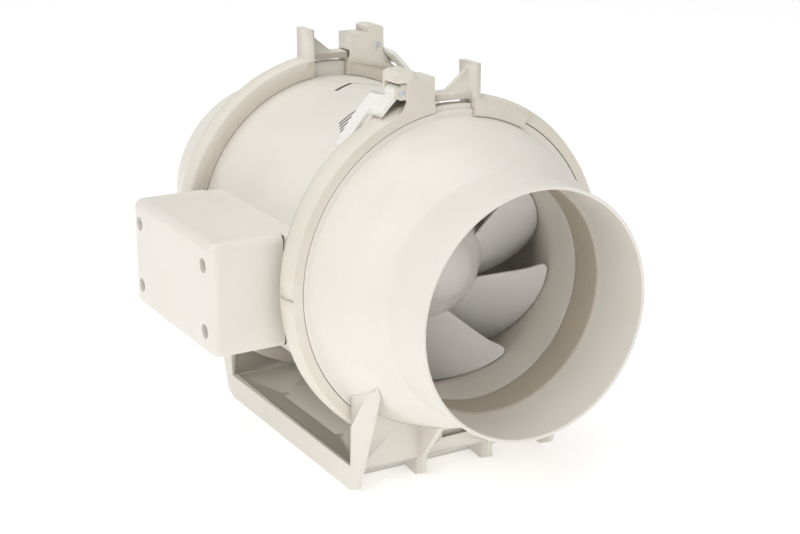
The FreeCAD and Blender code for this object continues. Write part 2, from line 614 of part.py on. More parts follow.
def vane():
    """Curved flow-straightening vane between the drum and the barrel's bore."""
    wires = []
    steps = 5
    outer = size("barrel_radius") - size("barrel_wall")
    for i in range(steps):
        along = i / (steps - 1)
        station = -size("vane_front") + along * (size("vane_front") + size("vane_back"))
        angle = math.radians(-size("vane_turn") * (1 - along) ** 2)
        half = size("vane_thickness") / 2
        corners = [(size("drum_radius") - 1.5, -half), (outer + 3, -half), (outer + 3, half),
                   (size("drum_radius") - 1.5, half)]
        points = [V(r * math.cos(angle) - w * math.sin(angle), station,
                    r * math.sin(angle) + w * math.cos(angle)) for r, w in corners]
        wires.append(Part.makePolygon(points + points[:1]))
    return Part.makeLoft(wires, True, False)


LEAD_START = V(-(size("barrel_radius") - size("barrel_wall")), size("lead_place"), 0)
drum_shape = drum.Shape.copy()
diffuser = drum_shape.fuse(polar(vane(), size("vane_count"), 8.0))
conduit_length = size("barrel_radius") - size("barrel_wall") - size("drum_radius") + 1.5
conduit_radius = size("lead_radius") + size("conduit_wall") + 0.3
diffuser = diffuser.fuse(tube(LEAD_START, conduit_length, conduit_radius, axis=V(1, 0, 0)))
diffuser = diffuser.cut(tube(LEAD_START - V(1, 0, 0), conduit_length + 6,
                             size("lead_radius"), axis=V(1, 0, 0)))
fit_bore = tube(V(0, -100, 0), 200, size("barrel_radius") - size("barrel_wall"))
diffuser = diffuser.common(fit_bore)
mount_screw = tube(V(size("mount_screw_circle"), -size("motor_front") - size("drum_wall") - 1.8, 0),
                   1.8, 3.2)
mount_screw = mount_screw.fuse(tube(V(size("mount_screw_circle"),
                                      -size("motor_front") - size("drum_wall"), 0),
                                    size("drum_wall") + size("cover_wall"), 1.6))
mount_screws = Part.makeCompound(polar(mount_screw, 3, 90))
loose("motor_mount_screws", mount_screws)
loose("guide_vane_diffuser", diffuser.cut(mount_screws))

fairing = new_body("outlet_fairing")
turn(fairing, [
    ("drum_back", "drum_radius"), ("fairing_back - 22", "drum_radius - 5"),
    ("fairing_back - 8", "drum_radius * 0.62"), ("fairing_back - 1.5", "drum_radius * 0.28"),
    ("fairing_back", "0"), ("fairing_back - 2.2", "0"),
    ("fairing_back - 10", "drum_radius * 0.58"), ("fairing_back - 24", "drum_radius - 7.5"),
    ("drum_back", "drum_radius - drum_wall - 2.2"), ("drum_back - 5", "drum_radius - drum_wall - 2.2"),
    ("drum_back - 5", drum_bore), ("drum_back", drum_bore),
])

# ------------------------------------------------------------- terminal box
LID_SEAM = "(box_seam + gasket / 2)"
lid = new_body("terminal_box_lid")
slab(lid, "YZ_Plane", f"-(box_face + {LID_SEAM}) / 2", f"box_face - {LID_SEAM}",
     [box_rectangle("0")])
dress(lid, "Fillet", lambda edge: edge.BoundBox.XMin < -size("box_face") + 0.1
      or edge.BoundBox.XLength > 20, "box_round")
slab(lid, "YZ_Plane", f"-(box_face - box_wall + {LID_SEAM} - 1) / 2",
     f"box_face - box_wall - {LID_SEAM} + 1", [box_rectangle("box_wall")], kind="Pocket")
slab(lid, "YZ_Plane", f"-(box_face - 1 + {LID_SEAM}) / 2", f"box_face - 1 - {LID_SEAM}",
     circles=[(SCREW_CENTRES, "box_column")])
slab(lid, "YZ_Plane", "-box_face", "120", circles=[(SCREW_CENTRES, "box_screw_radius")],
     kind="Pocket")
slab(lid, "YZ_Plane", "-box_face", "2 * box_screw_recess + 2 * 2.2",
     circles=[(SCREW_CENTRES, "box_screw_head + 0.7")], kind="Pocket")
slab(lid, "XZ_Plane", "-box_half_length", "2 * box_wall + 2",
     circles=[([("-gland_place", "-2")], "gland_radius")], kind="Pocket")

gasket = new_body("terminal_box_gasket")
slab(gasket, "YZ_Plane", "-box_seam", "gasket",
     corners=[box_rectangle("1.2"), box_rectangle("box_half_length - box_screw_along")])
slab(gasket, "YZ_Plane", "-box_seam", "gasket", circles=[(SCREW_CENTRES, "box_column - 0.4")])
slab(gasket, "YZ_Plane", "-box_seam", "gasket + 2",
     circles=[(SCREW_CENTRES, "box_screw_radius")], kind="Pocket")

lid_screws = []
head_face = size("box_face") - size("box_screw_recess")
for along in (-1, 1):
    for up in (size("box_screw_up"), -size("box_screw_down")):
        start = V(-head_face, along * size("box_screw_along"), up)
        head = tube(start, 2.2, size("box_screw_head"), axis=V(1, 0, 0))
        shank = tube(start, head_face - 95.5, size("box_screw_radius"), axis=V(1, 0, 0))
        slot = block((-head_face - 1, -head_face + 1.4), (-0.55, 0.55), (-2.3, 2.3))
        cross = slot.fuse(block((-head_face - 1, -head_face + 1.4), (-2.3, 2.3), (-0.55, 0.55)))
        cross.translate(V(0, start.y, start.z))
        lid_screws.append(head.fuse(shank).cut(cross))
loose("terminal_box_screws", Part.makeCompound(lid_screws))

block_span_y = (-size("block_length") / 2 - 12, size("block_length") / 2 - 12)
block_span_z = (-size("block_half_height"), size("block_half_height"))
block_face = -size("block_pad") - size("block_depth")
terminals = block((block_face, -size("block_pad")), block_span_y, block_span_z)
poles = 5
terminal_screws = []
for i in range(poles):
    y = block_span_y[0] + size("block_length") * (i + 0.5) / poles
    for z in (-4.5, 4.5):
        start = V(block_face, y, z)
        terminals = terminals.cut(tube(start, 9, size("block_screw_radius"), axis=V(1, 0, 0)))
        terminal_screws.append(tube(start + V(2, 0, 0), 7, size("block_screw_radius"),
                                    axis=V(1, 0, 0)))
    for z in (block_span_z[0], block_span_z[1] - 3):
        terminals = terminals.cut(tube(V(block_face + 11.2, y, z), 3, 1.6, axis=V(0, 0, 1)))
loose("terminal_block", terminals)
loose("terminal_block_screws", Part.makeCompound(terminal_screws))

capacitor_centre = V(-114, 0, -size("box_bottom") + size("box_wall") + size("capacitor_radius") + 1.2)
half_can = size("capacitor_length") / 2
can = tube(capacitor_centre - V(0, half_can, 0), 2 * half_can, size("capacitor_radius"))
loose("motor_capacitor", can)
clip_radius = size("capacitor_radius") + 1.1
clip = tube(capacitor_centre - V(0, 4, 0), 8, clip_radius, size("capacitor_radius"))
saddle_floor = math.sqrt(size("barrel_radius") ** 2 - capacitor_centre.z ** 2)
clip = clip.fuse(block((capacitor_centre.x + size("capacitor_radius") + 0.3, -saddle_floor - 0.05),
                       (-4, 4), (capacitor_centre.z - 2, capacitor_centre.z + 2)))
barrel_round = tube(V(0, -60, 0), 120, size("barrel_radius"))
clip = clip.cut(can).cut(barrel_round)
loose("capacitor_clip", clip)

grommet = tube(V(-size("barrel_radius") - 1.6, size("lead_place"), 0), 1.6 + size("barrel_wall"),
               size("grommet_radius") - 1.5, size("lead_radius"), axis=V(1, 0, 0))
grommet = grommet.fuse(tube(V(-size("barrel_radius") - 1.6, size("lead_place"), 0), 1.6,
                            size("grommet_radius"), size("lead_radius"), axis=V(1, 0, 0)))
loose("wire_grommet", grommet.cut(tube(V(0, -60, 0), 120, size("barrel_radius") - size("barrel_wall"))))
lead_outer = -size("block_pad") - 5
loose("motor_lead", tube(V(lead_outer, size("lead_place"), 0),
                         -lead_outer - size("motor_radius") - 1, size("lead_radius"),
                         axis=V(1, 0, 0)))

# cable gland through the lid's rear wall
gland_start = V(-size("gland_place"), size("box_half_length"), -2)
wall_inside = size("box_half_length") - size("box_wall")
thread = tube(V(gland_start.x, wall_inside - 5, -2), size("box_wall") + 13, size("gland_radius"),
              size("gland_bore"))


def hexagon(start, length, across_corners, bore):
    ring = [V(start.x + across_corners * math.cos(math.radians(60 * i)), start.y,
              start.z + across_corners * math.sin(math.radians(60 * i))) for i in range(7)]
    solid = Part.Face(Part.makePolygon(ring)).extrude(V(0, length, 0))
    return solid.cut(tube(start - V(0, 1, 0), length + 2, bore))


gland = thread.fuse(hexagon(gland_start, 4, size("gland_hex"), size("gland_radius") - 1))
seat = tube(gland_start + V(0, 3, 0), 6, size("gland_radius") - 1.4)
loose("cable_gland_body", gland.cut(seat))
loose("cable_gland_seal", tube(gland_start + V(0, 3, 0), 6, size("gland_radius") - 1.4,
                               size("gland_bore")))
cap_nut = hexagon(gland_start + V(0, 4, 0), 5, size("gland_hex") - 0.6, size("gland_radius"))
dome = Part.makeCone(size("gland_radius") + 1.6, size("gland_radius") - 0.6, 4,
                     gland_start + V(0, 9, 0), V(0, 1, 0))
dome = dome.cut(tube(gland_start + V(0, 8, 0), 8, size("gland_bore") + 0.6))
loose("cable_gland_nut", cap_nut.fuse(dome))
loose("cable_gland_locknut", hexagon(V(gland_start.x, wall_inside - 4, -2), 4,
                                     size("gland_hex"), size("gland_radius")))

# --------------------------------------------------------------------- foot
GUSSET_TOP = "axis_height - gusset_top_drop"
INNER_TOP = "axis_height - inner_top_drop"
END_WALL_TOP = "axis_height - end_wall_top_drop"
foot = new_body("foot_pattern", None)
TOE = [("toe_reach", "0"), ("gusset_low_reach - 3", "toe_round * 0.42"),
       ("gusset_low_reach", "gusset_low_height")]


def mirrored(points):
    return [(f"-({y})", z) for y, z in reversed(points)]


outer_front = TOE + [("gusset_top_reach", GUSSET_TOP), ("band_front", GUSSET_TOP),
                     ("band_front", "rail_height")]
inner_front = TOE[:2] + [("inner_low_reach", "gusset_low_height"),
                         ("inner_top_reach", INNER_TOP),
                         ("inner_rib_end", INNER_TOP), ("inner_rib_end", "inner_rib_low")]
for side in (-1, 1):
    slab(foot, "YZ_Plane", f"{side} * (rib_outer - rib_thickness / 2)", "rib_thickness",
         [outer_front + mirrored(outer_front)])
    for end in (-1, 1):
        slab(foot, "YZ_Plane", f"{side} * rib_inner", "rib_thickness",
             [[(f"{end} * ({y})", z) for y, z in inner_front]])
slab(foot, "XY_Plane", "floor_top - floor_thickness / 2", "floor_thickness",
     [box_corners("-rib_outer + 1", "-end_wall_reach + 1", "rib_outer - 1", "end_wall_reach - 1")])
hole_places = [(f"{a} * foot_hole_across", f"{b} * foot_hole_along")
               for a in (-1, 1) for b in (-1, 1)]
slab(foot, "XY_Plane", "(floor_top - 1) / 2", "floor_top - 1",
     circles=[(hole_places, "foot_boss_radius")])
for end in (-1, 1):
    wall = [
        ("end_wall_reach", END_WALL_TOP), ("end_wall_reach", "floor_top - wall_slope_rise"),
        ("end_wall_foot + lip_draft", "foot_lip"), ("end_wall_foot", "0"),
        ("end_wall_foot - end_wall - lip_draft", "0"), ("end_wall_foot - end_wall", "foot_lip"),
        ("end_wall_reach - end_wall", "floor_top + wall_slope_rise"),
        ("end_wall_reach - end_wall", END_WALL_TOP),
    ]
    slab(foot, "YZ_Plane", "0", "2 * rib_outer - 2",
         [[(f"{end} * ({y})", z) for y, z in wall]])
slab(foot, "XY_Plane", "0", "60", circles=[(hole_places, "foot_hole_radius")], kind="Pocket")
slab(foot, "XZ_Plane", "0", "300", [box_corners("-window_half", "window_low", "window_half",
                                                "window_high")], kind="Pocket")
ROOT.recompute()
room_reach = size("band_front") + size("skirt_thickness") + size("room_margin")
room = tube(V(0, -room_reach, 0), 2 * room_reach, size("band_crown") + size("band_room"))
foot_shape = foot.Shape.copy()
foot_shape.translate(V(0, 0, -size("axis_height")))


def revolved(points):
    """Solid of revolution about the duct axis from (station, radius) points."""
    ring = [V(0, station, radius) for station, radius in points]
    face = Part.Face(Part.makePolygon(ring + ring[:1]))
    return face.revolve(V(0, 0, 0), V(0, 1, 0), 360)


# the ribs and end walls are trimmed to the outside of both cones
fit = size("cone_fit")
for end in (-1, 1):
    inner_end = end * (size("cone_station") - size("plug_step"))
    outer_end = end * (size("gusset_top_reach") + 2 * size("plug_step") + 20)
    plug = revolved([
        (inner_end, 0),
        (inner_end, size("cone_radius") + fit),
        (end * size("cone_station"), size("cone_radius") + fit),
        (end * size("shoulder_station"), size("shoulder_radius") + fit),
        (end * size("spigot_root"), size("spigot_radius") + fit),
        (outer_end, size("spigot_radius") + fit),
        (outer_end, 0)])
    foot_shape = foot_shape.cut(plug)
foot_shape = foot_shape.cut(room)
loose("mounting_base", max(foot_shape.Solids, key=lambda solid: solid.Volume))

# ------------------------------------------------------------------- export
ROOT.recompute()
for item in ROOT.Objects:
    if "Invalid" in item.State or "Error" in item.State:
        raise RuntimeError(f"{item.Name} failed: {item.State}")
os.makedirs("parts", exist_ok=True)
PATTERNS = {"band_pattern", "impeller_hub", "vane_drum", "foot_pattern"}
exported = [item for item in ROOT.Objects
            if item.TypeId in ("PartDesign::Body", "Part::Feature") and item.Name not in PATTERNS]
for item in exported:
    if item.Shape.isNull() or not item.Shape.isValid():
        raise RuntimeError(f"{item.Label} has no valid shape")
    item.Shape.exportStep(f"parts/{item.Label}.step")
    print(f"{item.Label:26s} solids {len(item.Shape.Solids)} volume {item.Shape.Volume:10.1f}")
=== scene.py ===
"""Looks of an inline mixed-flow duct fan: moulded cones, lift-out barrel, clamp bands and foot.

The CAD frame is in metres: the duct runs along Y with its inlet at -Y, the terminal box is on
the -X side and the foot stands on z = 0. Sizes here are written in millimetres times MM.
"""

import json
import math

import bmesh
import bpy
from mathutils import Matrix, Vector


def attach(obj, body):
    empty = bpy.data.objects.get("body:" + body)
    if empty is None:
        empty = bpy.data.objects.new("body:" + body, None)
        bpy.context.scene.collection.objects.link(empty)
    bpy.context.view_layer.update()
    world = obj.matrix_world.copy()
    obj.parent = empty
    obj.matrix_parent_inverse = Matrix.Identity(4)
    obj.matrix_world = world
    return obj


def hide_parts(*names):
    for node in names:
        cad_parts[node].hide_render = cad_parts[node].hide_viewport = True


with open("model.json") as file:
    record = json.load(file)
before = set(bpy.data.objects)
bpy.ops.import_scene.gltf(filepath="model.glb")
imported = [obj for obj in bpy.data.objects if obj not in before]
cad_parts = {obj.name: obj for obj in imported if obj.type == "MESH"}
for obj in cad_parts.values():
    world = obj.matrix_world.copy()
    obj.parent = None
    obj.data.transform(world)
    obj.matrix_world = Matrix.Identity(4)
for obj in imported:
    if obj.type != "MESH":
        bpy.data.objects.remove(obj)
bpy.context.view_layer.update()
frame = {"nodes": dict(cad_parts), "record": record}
nodes = frame["nodes"]

# ---------------------------------------------------------------- inlet cone
# The inlet cone is one injection moulding in ivory ABS: a plain spigot that the duct pushes
# onto, a dished cone, and inside them the bellmouth throat that leads the air to the blades.
# Its skin is satin with a fine spark texture and very slight flow clouding.
MM = 0.001
AXIS = 124.1 * MM
NODE_EDGE_ANGLE = math.radians(32)
OBJECT_COORDINATES = 3
IVORY_PALE = (0.80, 0.765, 0.705, 1)
IVORY_DEEP = (0.765, 0.727, 0.665, 1)


class Wire:
    """A socket of a material's nodes. Arithmetic on it adds Math nodes."""

    def __init__(self, tree, socket=None):
        self.tree = tree
        self.socket = socket

    def add(self, kind, settings=None, inputs=None, output=0):
        """Any shader node from its type, its settings and what its sockets are given."""
        node = self.tree.nodes.new("ShaderNode" + kind)
        for word, value in (settings or {}).items():
            setattr(node, word, value)
        for word, value in (inputs or {}).items():
            if isinstance(value, Wire):
                self.tree.links.new(value.socket, node.inputs[word])
            else:
                node.inputs[word].default_value = value
        return Wire(self.tree, node.outputs[output])

    def maths(self, operation, first, second=0.0):
        return self.add("Math", {"operation": operation}, {0: first, 1: second})

    def root(self):
        return self.maths("SQRT", self)

    def __add__(self, other):
        return self.maths("ADD", self, other)

    def __sub__(self, other):
        return self.maths("SUBTRACT", self, other)

    def __rsub__(self, other):
        return self.maths("SUBTRACT", other, self)

    def __mul__(self, other):
        return self.maths("MULTIPLY", self, other)

    def __truediv__(self, other):
        return self.maths("DIVIDE", self, other)

    __radd__ = __add__
    __rmul__ = __mul__

    def step(self, low, high):
        """0 below low, 1 above high, smooth between them."""
        return self.add("MapRange", {"interpolation_type": "SMOOTHSTEP"},
                        {"Value": self, "From Min": low, "From Max": high})

    def mix(self, first, second):
        """Colour between first and second by this wire."""
        return self.add("Mix", {"data_type": "RGBA"}, {0: self, 6: first, 7: second}, output=2)


def finish_of(name, constants, build):
    """Material whose varying sockets come from build(place), constants set directly."""
    material = bpy.data.materials.new(name)
    material.use_nodes = True
    tree = material.node_tree
    shader = tree.nodes["Principled BSDF"]
    for word, value in constants.items():
        shader.inputs[word].default_value = value
    place = Wire(tree).add("TexCoord", output=OBJECT_COORDINATES)
    for word, wire in build(place).items():
        tree.links.new(wire.socket, shader.inputs[word])
    return material


def noise(place, size, detail=2.0, roughness=0.5):
    """Even noise with features of about size metres."""
    return place.add("TexNoise", inputs={"Vector": place, "Scale": 1.0 / size, "Detail": detail,
                                         "Roughness": roughness})


def clouding(cloud, speck):
    """How far a moulding's flow clouds have turned its deeper colour into the paler one."""
    return (cloud * 0.8 + speck * 0.2).step(0.3, 0.7)


def skin_bump(place):
    """Fine spark texture that the mould leaves on an ivory skin."""
    return place.add("Bump", inputs={"Strength": 0.25, "Distance": 0.06 * MM,
                                     "Height": noise(place, 0.45 * MM, 3.0, 0.6)})


def plastic(name, pale, deep, gloss, texture):
    """Moulded plastic: clouded colour, uneven satin sheen and a fine raised texture."""
    def build(place):
        cloud = noise(place, 55 * MM, 3.0)
        speck = noise(place, 1.6 * MM, 2.0)
        tint = clouding(cloud, speck)
        grain = noise(place, 0.45 * MM, 3.0, 0.6)
        waves = noise(place, 18 * MM)
        rough = gloss + (speck - 0.5) * 0.10 + (cloud - 0.5) * 0.08
        fine = place.add("Bump", inputs={"Strength": texture, "Distance": 0.06 * MM,
                                         "Height": grain})
        bump = place.add("Bump", inputs={"Strength": 0.12, "Distance": 0.35 * MM,
                                         "Height": waves, "Normal": fine})
        return {"Base Color": tint.mix(deep, pale), "Roughness": rough, "Normal": bump}
    return finish_of(name, {"IOR": 1.5, "Subsurface Weight": 0.06, "Subsurface Scale": 1.2 * MM,
                            "Subsurface Radius": (1.0, 0.8, 0.6)}, build)


ivory = plastic("ivory_moulding", IVORY_PALE, IVORY_DEEP, 0.42, 0.25)


def object_from(mesh_maker, name, material, node, body="root"):
    """Object from a finished bmesh, riding on its body and standing for its CAD node."""
    mesh = bpy.data.meshes.new(name)
    mesh_maker.to_mesh(mesh)
    mesh_maker.free()
    piece = bpy.data.objects.new(name, mesh)
    bpy.context.scene.collection.objects.link(piece)
    mesh.materials.append(material)
    mesh.shade_smooth()
    mesh.set_sharp_from_angle(angle=NODE_EDGE_ANGLE)
    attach(piece, body)
    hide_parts(node)
    slot_of(node)
    return piece


def slot_of(node):
    """Material slot that the record gives a CAD node."""
    return next(entry["material_slot"] for entry in frame["record"]["subparts"]
                if entry["node"] == node)


def turned(profile, steps=192):
    """Ring turned about the duct axis from (station, radius, corner rounding) in millimetres."""
    maker = bmesh.new()
    spots = [maker.verts.new((0, station * MM, AXIS + radius * MM))
             for station, radius, rounding in profile]
    for i, spot in enumerate(spots):
        following = spots[(i + 1) % len(spots)]
        if profile[i][1] or profile[(i + 1) % len(spots)][1]:
            maker.edges.new((spot, following))
    for spot, (station, radius, rounding) in zip(spots, profile):
        if rounding:
            bmesh.ops.bevel(maker, geom=[spot], offset=rounding * MM, segments=6, profile=0.5,
                            affect="VERTICES", material=-1)
    bmesh.ops.spin(maker, geom=maker.verts[:] + maker.edges[:], cent=(0, 0, AXIS),
                   axis=(0, 1, 0), angle=math.tau, steps=steps, use_merge=True)
    bmesh.ops.remove_doubles(maker, verts=maker.verts, dist=0.001 * MM)
    bmesh.ops.recalc_face_normals(maker, faces=maker.faces)
    return maker


inlet = turned([
    (-174.0, 73.5, 0.7), (-134.5, 73.5, 2.4), (-116.0, 86.0, 6.3), (-85.0, 94.9, 0.6),
    (-85.0, 98.9, 0.6), (-82.2, 98.9, 0.2), (-82.2, 102.0, 0.3), (-78.6, 102.0, 0.2),
    (-78.6, 93.3, 0.2), (-85.0, 92.3, 0), (-115.0, 83.4, 5.0), (-129.6, 71.9, 0.6),
    (-111.5, 71.9, 0.3), (-111.5, 69.5, 0.9), (-133.0, 69.5, 0.7), (-133.0, 71.3, 0.4),
    (-174.0, 71.3, 0.7),
])


def inlet_skin(place):
    """Ivory outside; the bellmouth throat inside is painted a darker beige as shade, and is rougher.
    """
    cloud = noise(place, 55 * MM, 3.0)
    speck = noise(place, 1.6 * MM, 2.0)
    x = place.add("SeparateXYZ", inputs={"Vector": place})
    y = place.add("SeparateXYZ", inputs={"Vector": place}, output=1)
    up = place.add("SeparateXYZ", inputs={"Vector": place}, output=2) - AXIS
    out = (x * x + up * up).root()
    # Mask of the bellmouth throat, where the colour is darkened with painted shade.
    painted_throat_shade = y.step(-133.3 * MM, -132.8 * MM) * (1 - out.step(72.0 * MM, 73.0 * MM))
    skin = clouding(cloud, speck).mix(IVORY_DEEP, IVORY_PALE)
    # Darker beige painted on the throat as shade.
    throat_shade_colour = (cloud * 0.5 + speck * 0.5).step(0.3, 0.7).mix((0.49, 0.43, 0.34, 1),
                                                          (0.54, 0.48, 0.385, 1))
    return {"Base Color": painted_throat_shade.mix(skin, throat_shade_colour), "Roughness": 0.42 + painted_throat_shade * 0.12 +
            (speck - 0.5) * 0.10, "Normal": skin_bump(place)}


SHELL_PLASTIC = {"IOR": 1.5, "Subsurface Weight": 0.06, "Subsurface Scale": 1.2 * MM}
inlet_ivory = finish_of("inlet_ivory", SHELL_PLASTIC, inlet_skin)
object_from(inlet, "inlet_cone_moulding", inlet_ivory, "inlet_cone")

# --------------------------------------------------------------- outlet cone
# The outlet cone is the same moulding without the bellmouth, so its bore is an open dish.
outlet = turned([
    (166.0, 73.5, 0.7), (134.5, 73.5, 2.4), (116.0, 86.0, 6.3), (85.0, 94.9, 0.6),
    (85.0, 98.9, 0.6), (82.2, 98.9, 0.2), (82.2, 102.0, 0.3), (78.6, 102.0, 0.2),
    (78.6, 93.3, 0.2), (85.0, 92.3, 0), (115.0, 83.4, 5.0), (133.0, 71.3, 2.0),
    (166.0, 71.3, 0.7),
])
object_from(outlet, "outlet_cone_moulding", ivory, "outlet_cone")

# -------------------------------------------------------------------- barrel
# The lift-out barrel carries the motor. It is a plain moulded drum with a saddle frame for the
# terminal box, and four pad-printed stripes and a bent stroke in dark ink on its top.


def rounded_copy(node, edge):
    """Merged copy of a CAD node, with a bevel of edge millimetres unless that is 0."""
    maker = bmesh.new()
    maker.from_mesh(nodes[node].data)
    bmesh.ops.remove_doubles(maker, verts=maker.verts, dist=0.004 * MM)
    bmesh.ops.dissolve_degenerate(maker, edges=maker.edges, dist=0.01 * MM)
    if edge == 0:
        return maker
    bmesh.ops.dissolve_limit(maker, angle_limit=math.radians(0.6), verts=maker.verts,
                             edges=maker.edges, use_dissolve_boundaries=False)
    corners = [e for e in maker.edges if len(e.link_faces) == 2
               and e.calc_face_angle() > NODE_EDGE_ANGLE and e.calc_length() > 2.2 * edge * MM]
    bmesh.ops.bevel(maker, geom=corners, offset=edge * MM, segments=2, profile=0.5,
                    affect="EDGES", clamp_overlap=False, material=-1)
    return maker


def moulded(node, material, edge, body="root"):
    """Piece made from a copy of its CAD node, bevelled by edge millimetres."""
    piece = object_from(rounded_copy(node, edge), node + "_moulding", material, node, body)
    if edge:
        weighted = piece.modifiers.new("even_shading", "WEIGHTED_NORMAL")
        weighted.keep_sharp = True


def stroke(x, y, start, end, half_width, soft=0.18):
    """Ink mask of a straight stroke between two points, all in millimetres."""
    run = (end[0] - start[0], end[1] - start[1])
    length = run[0] ** 2 + run[1] ** 2
    along = ((x - start[0]) * run[0] + (y - start[1]) * run[1]) / length
    along = along.maths("MINIMUM", along.maths("MAXIMUM", along, 0.0), 1.0)
    off_x = x - start[0] - along * run[0]
    off_y = y - start[1] - along * run[1]
    distance = (off_x * off_x + off_y * off_y).root()
    return 1 - distance.step(half_width - soft, half_width + soft)


def printed_plastic(place):
    """Ivory plastic with pad-printed marks where the barrel's top faces up."""
    cloud = noise(place, 55 * MM, 3.0)
    speck = noise(place, 1.6 * MM, 2.0)
    split = place.add("SeparateXYZ", inputs={"Vector": place})
    x = split * 1000
    y = Wire(place.tree, split.socket.node.outputs[1]) * 1000
    z = Wire(place.tree, split.socket.node.outputs[2]) * 1000
    marks = [((-46 + 1.5 * i, -31 + 3.4 * i), (-16 - 1.5 * i, -24 + 3.4 * i), 0.7)
             for i in range(4)]
    marks += [((-16, 32), (-1, 41), 1.3), ((-1, 41), (15, 31), 0.45)]
    ink = None
    for start, end, width in marks:
        mask = stroke(x, y, start, end, width)
        ink = mask if ink is None else ink.maths("MAXIMUM", ink, mask)
    ink = ink * z.step(160, 165) * speck.step(0.12, 0.24)
    base = clouding(cloud, speck).mix(IVORY_DEEP, IVORY_PALE)
    rough = 0.42 + (speck - 0.5) * 0.10 + ink * 0.12
    return {"Base Color": ink.mix(base, (0.05, 0.048, 0.046, 1)), "Roughness": rough,
            "Normal": skin_bump(place)}


printed_ivory = finish_of("printed_ivory", SHELL_PLASTIC, printed_plastic)
moulded("barrel", printed_ivory, 0.4)

# --------------------------------------------------------------- clamp bands
# Each clamp band is a springy strap of slightly yellower polypropylene, closed over the two
# flanges by a strap and lug at the top; the hood over the strap holds the release lever's pin.
band_plastic = plastic("band_polypropylene", (0.76, 0.715, 0.625, 1), (0.72, 0.672, 0.58, 1),
                       0.40, 0.22)
for end in ("front", "rear"):
    moulded(end + "_clamp_band", band_plastic, 0)

# ------------------------------------------------------------ release levers
# The levers are whiter acetal, smooth from a polished tool, and turn on steel pins.
acetal = plastic("lever_acetal", (0.86, 0.845, 0.81, 1), (0.83, 0.815, 0.775, 1), 0.27, 0.06)


def metal(name, pale, dark, gloss, streak=0.0):
    """Plated or bare metal: mottled reflection, fine scratches and a little tarnish."""
    def build(place):
        mottle = noise(place, 3.5 * MM, 4.0, 0.65)
        fine = noise(place, 0.35 * MM, 2.0)
        stretched = place.add("Mapping", inputs={"Vector": place, "Scale": (1.0, 0.06, 1.0)})
        lines = noise(stretched, 0.25 * MM, 2.0)
        rough = gloss + (mottle - 0.5) * 0.22 + (lines - 0.5) * streak
        bump = place.add("Bump", inputs={"Strength": 0.18, "Distance": 0.03 * MM,
                                         "Height": fine * 0.5 + lines * 0.5})
        return {"Base Color": mottle.step(0.3, 0.72).mix(dark, pale), "Roughness": rough,
                "Normal": bump}
    return finish_of(name, {"Metallic": 1.0}, build)


zinc = metal("zinc_plate", (0.70, 0.72, 0.73, 1), (0.50, 0.52, 0.53, 1), 0.32, 0.10)
for end in ("front", "rear"):
    moulded(end + "_release_lever", acetal, 0, body=end + "_lever")
    moulded(end + "_lever_pin", zinc, 0.25)

# -------------------------------------------------------------- terminal box
# The lid is a deep ivory cover with soft corners, drawn onto a thin dark gasket by four
# recessed cross-head screws. A grey gland for the supply lead screws through its rear wall.
moulded("terminal_box_lid", ivory, 0.4)


def rubber_build(place):
    """Dark sealing rubber with a dusty bloom and a matt pebbled skin."""
    bloom = noise(place, 6 * MM, 4.0, 0.6)
    pebble = place.add("TexVoronoi", inputs={"Vector": place, "Scale": 1.0 / (0.5 * MM)})
    bump = place.add("Bump", inputs={"Strength": 0.3, "Distance": 0.05 * MM, "Height": pebble})
    return {"Base Color": bloom.step(0.35, 0.75).mix((0.022, 0.022, 0.023, 1),
                                                     (0.07, 0.069, 0.066, 1)),
            "Roughness": 0.62 + (bloom - 0.5) * 0.2, "Normal": bump}


rubber = finish_of("seal_rubber", {"IOR": 1.52}, rubber_build)
moulded("terminal_box_screws", zinc, 0.2)
gland_grey = plastic("gland_polyamide", (0.42, 0.43, 0.44, 1), (0.36, 0.37, 0.38, 1), 0.38, 0.3)
for node in ("cable_gland_body", "cable_gland_nut", "cable_gland_locknut"):
    moulded(node, gland_grey, 0.35)
for node in ("terminal_box_gasket", "cable_gland_seal", "wire_grommet"):
    moulded(node, rubber, 0.15)
for node in ("inlet_seal", "outlet_seal"):
    moulded(node, rubber, 0.3)

# ------------------------------------------------------------------ impeller
# The mixed-flow impeller is one moulding: a conical hub with seven wide scoop blades of even
# thickness, in whiter glass-filled plastic with a satin skin. A nose cap hides its nut.
blade_white = plastic("blade_nylon", (0.90, 0.885, 0.86, 1), (0.875, 0.86, 0.83, 1), 0.36, 0.18)
BLADES = 7
CHORD_STEPS, SPAN_STEPS = 40, 24
TRAILING_EDGE = -50.5
BLADE_THICKNESS = 2.1 * MM
BLADE_RIM_ROUNDING = 0.85 * MM


def blade_point(chord, span):
    """Blade surface point in millimetres from its shares of chord and span."""
    chord = min(1.0, max(0.0, chord))
    span = min(1.0, max(0.0, span))
    corner = min(1.0, max(0.0, (span - 0.84) / 0.16))
    chord = chord + (1 - chord) * 0.10 * (1 - math.sqrt(1 - corner ** 2))
    left = 1 - span
    lead_radius = 67.4 - 36.4 * left
    lead_angle = -1.2 - 28.9 * left + 32.7 * left ** 2 - 26.6 * left ** 3
    lead_station = -86.5 + 20.5 * left + 5.9 * left * span
    progress = chord ** (1.25 + 0.95 * span)
    station = lead_station + (TRAILING_EDGE - lead_station) * progress
    radius = lead_radius + (40.5 + 38.6 * span - lead_radius) * progress
    angle = math.radians(lead_angle + (-74 + 23 * span - lead_angle) * chord)
    return Vector((radius * math.cos(angle), station, radius * math.sin(angle))) * MM


